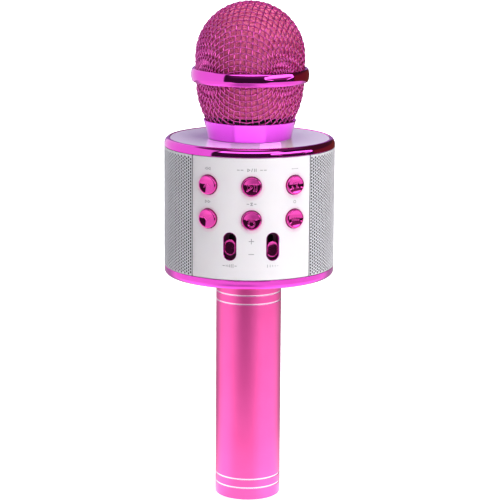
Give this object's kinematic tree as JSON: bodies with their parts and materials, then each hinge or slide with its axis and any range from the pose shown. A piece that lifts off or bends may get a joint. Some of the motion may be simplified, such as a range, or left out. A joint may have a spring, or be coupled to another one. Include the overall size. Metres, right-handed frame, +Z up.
{
  "type": "karaoke microphone",
  "caption": "Hand-held toy karaoke microphone: woven ball grille on a drum with buttons, sliders and side loudspeakers, over a plain round handle.",
  "frame": {"origin": "middle of the handle's flat bottom face", "axes": "+Z up the handle towards the head, -Y out of the button panel, +X to the right of a viewer who faces the panel"},
  "size_m": [0.08, 0.0819, 0.2365],
  "materials": {
    "handle_anodised": "satin pink anodised",
    "chrome_pink": "mirror pink metallised plating",
    "mesh_pink": "glossy pink plated wire",
    "foam_pink": "open-cell foam",
    "panel_white": "semi-gloss white",
    "cover_white": "glossy white",
    "grille_silver": "painted silver perforated sheet",
    "black_cloth": "black acoustic cloth",
    "black_plastic": "moulded",
    "grey_plastic": "moulded",
    "black_rubber": "moulded rubber",
    "board_green": "solder-masked laminate",
    "chip_black": "moulded",
    "steel": "plated",
    "socket_metal": "nickel plated",
    "magnet_grey": "ferrite with zinc-plated yoke",
    "cone_paper": "pressed paper and rubber edge",
    "cell_wrap": "shrink wrap",
    "foam_grey": "closed-cell foam",
    "lead_red": "insulated wire",
    "led_lens": "clear moulded lens",
    "ribbon_grey": "flat cable"
  },
  "bodies": {
    "case": {"handle_tube": "handle_anodised", "end_cap": "black_plastic", "battery": "cell_wrap", "battery_pads": "foam_grey", "handle_adapter": "black_plastic", "adapter_screws": "steel", "bottom_cover": "chrome_pink", "cover_screws": "steel", "front_panel": "panel_white", "rear_panel": "panel_white", "left_grille": "grille_silver", "right_grille": "grille_silver", "grille_liners": "black_cloth", "top_bezel": "chrome_pink", "top_cover": "cover_white", "drum_frame": "black_plastic", "button_switches": "black_plastic", "slider_trims": "chrome_pink", "slider_pots": "black_plastic", "control_board": "board_green", "port_board": "board_green", "board_screws": "steel", "board_chips": "chip_black", "board_ribbon": "ribbon_grey", "power_switch": "socket_metal", "usb_socket": "socket_metal", "charge_socket": "socket_metal", "card_slot": "socket_metal", "audio_jack": "black_plastic", "charge_led": "led_lens", "left_speaker_basket": "steel", "right_speaker_basket": "steel", "left_speaker_magnet": "magnet_grey", "right_speaker_magnet": "magnet_grey", "speaker_screws": "steel", "threaded_neck": "black_plastic", "neck_screws": "steel", "capsule_holder": "black_rubber", "mic_capsule": "socket_metal", "battery_leads": "lead_red", "mic_leads": "lead_red", "speaker_leads": "lead_red"},
    "previous_button": {"button_previous": "chrome_pink"},
    "play_button": {"button_play": "chrome_pink"},
    "music_button": {"button_music": "chrome_pink"},
    "next_button": {"button_next": "chrome_pink"},
    "mic_button": {"button_mic": "chrome_pink"},
    "record_button": {"button_record": "chrome_pink"},
    "left_slider": {"left_slider_knob": "chrome_pink"},
    "right_slider": {"right_slider_knob": "chrome_pink"},
    "power_slide": {"power_knob": "black_plastic"},
    "left_cone": {"left_speaker_cone": "cone_paper"},
    "right_cone": {"right_speaker_cone": "cone_paper"},
    "seal": {"neck_seal": "black_rubber"},
    "head": {"grille_dome": "mesh_pink", "grille_basket": "mesh_pink", "grille_band": "chrome_pink", "grille_collar": "chrome_pink", "thread_insert": "black_plastic", "foam_windscreen": "foam_pink"}
  },
  "joints": [
    {"name": "previous_press", "type": "slide", "parent": "case", "child": "previous_button", "axis": [0, 1, 0], "range_m": [0, 0.0004]},
    {"name": "play_press", "type": "slide", "parent": "case", "child": "play_button", "axis": [0, 1, 0], "range_m": [0, 0.0004]},
    {"name": "music_press", "type": "slide", "parent": "case", "child": "music_button", "axis": [0, 1, 0], "range_m": [0, 0.0004]},
    {"name": "next_press", "type": "slide", "parent": "case", "child": "next_button", "axis": [0, 1, 0], "range_m": [0, 0.0004]},
    {"name": "mic_press", "type": "slide", "parent": "case", "child": "mic_button", "axis": [0, 1, 0], "range_m": [0, 0.0004]},
    {"name": "record_press", "type": "slide", "parent": "case", "child": "record_button", "axis": [0, 1, 0], "range_m": [0, 0.0004]},
    {"name": "left_slider_travel", "type": "slide", "parent": "case", "child": "left_slider", "axis": [0, 0, 1], "range_m": [-0.0021, 0.003]},
    {"name": "right_slider_travel", "type": "slide", "parent": "case", "child": "right_slider", "axis": [0, 0, 1], "range_m": [-0.00125, 0.00385]},
    {"name": "power_travel", "type": "slide", "parent": "case", "child": "power_slide", "axis": [1, 0, 0], "range_m": [0, 0.003]},
    {"name": "left_cone_throw", "type": "slide", "parent": "case", "child": "left_cone", "axis": [-1, 0, 0], "range_m": [-0.0005, 0.0005]},
    {"name": "right_cone_throw", "type": "slide", "parent": "case", "child": "right_cone", "axis": [1, 0, 0], "range_m": [-0.0005, 0.0005]},
    {"name": "head_turn", "type": "hinge", "parent": "case", "child": "seal", "pos_m": [0, 0, 0.173], "axis": [0, 0, 1], "range_deg": [0, 720]},
    {"name": "head_lift", "type": "slide", "parent": "seal", "child": "head", "axis": [0, 0, 1], "range_m": [0, 0.00501]}
  ],
  "couplings": [
    {"joint": "head_lift", "follows": "head_turn", "m_per_rad": 0.00039789}
  ]
}
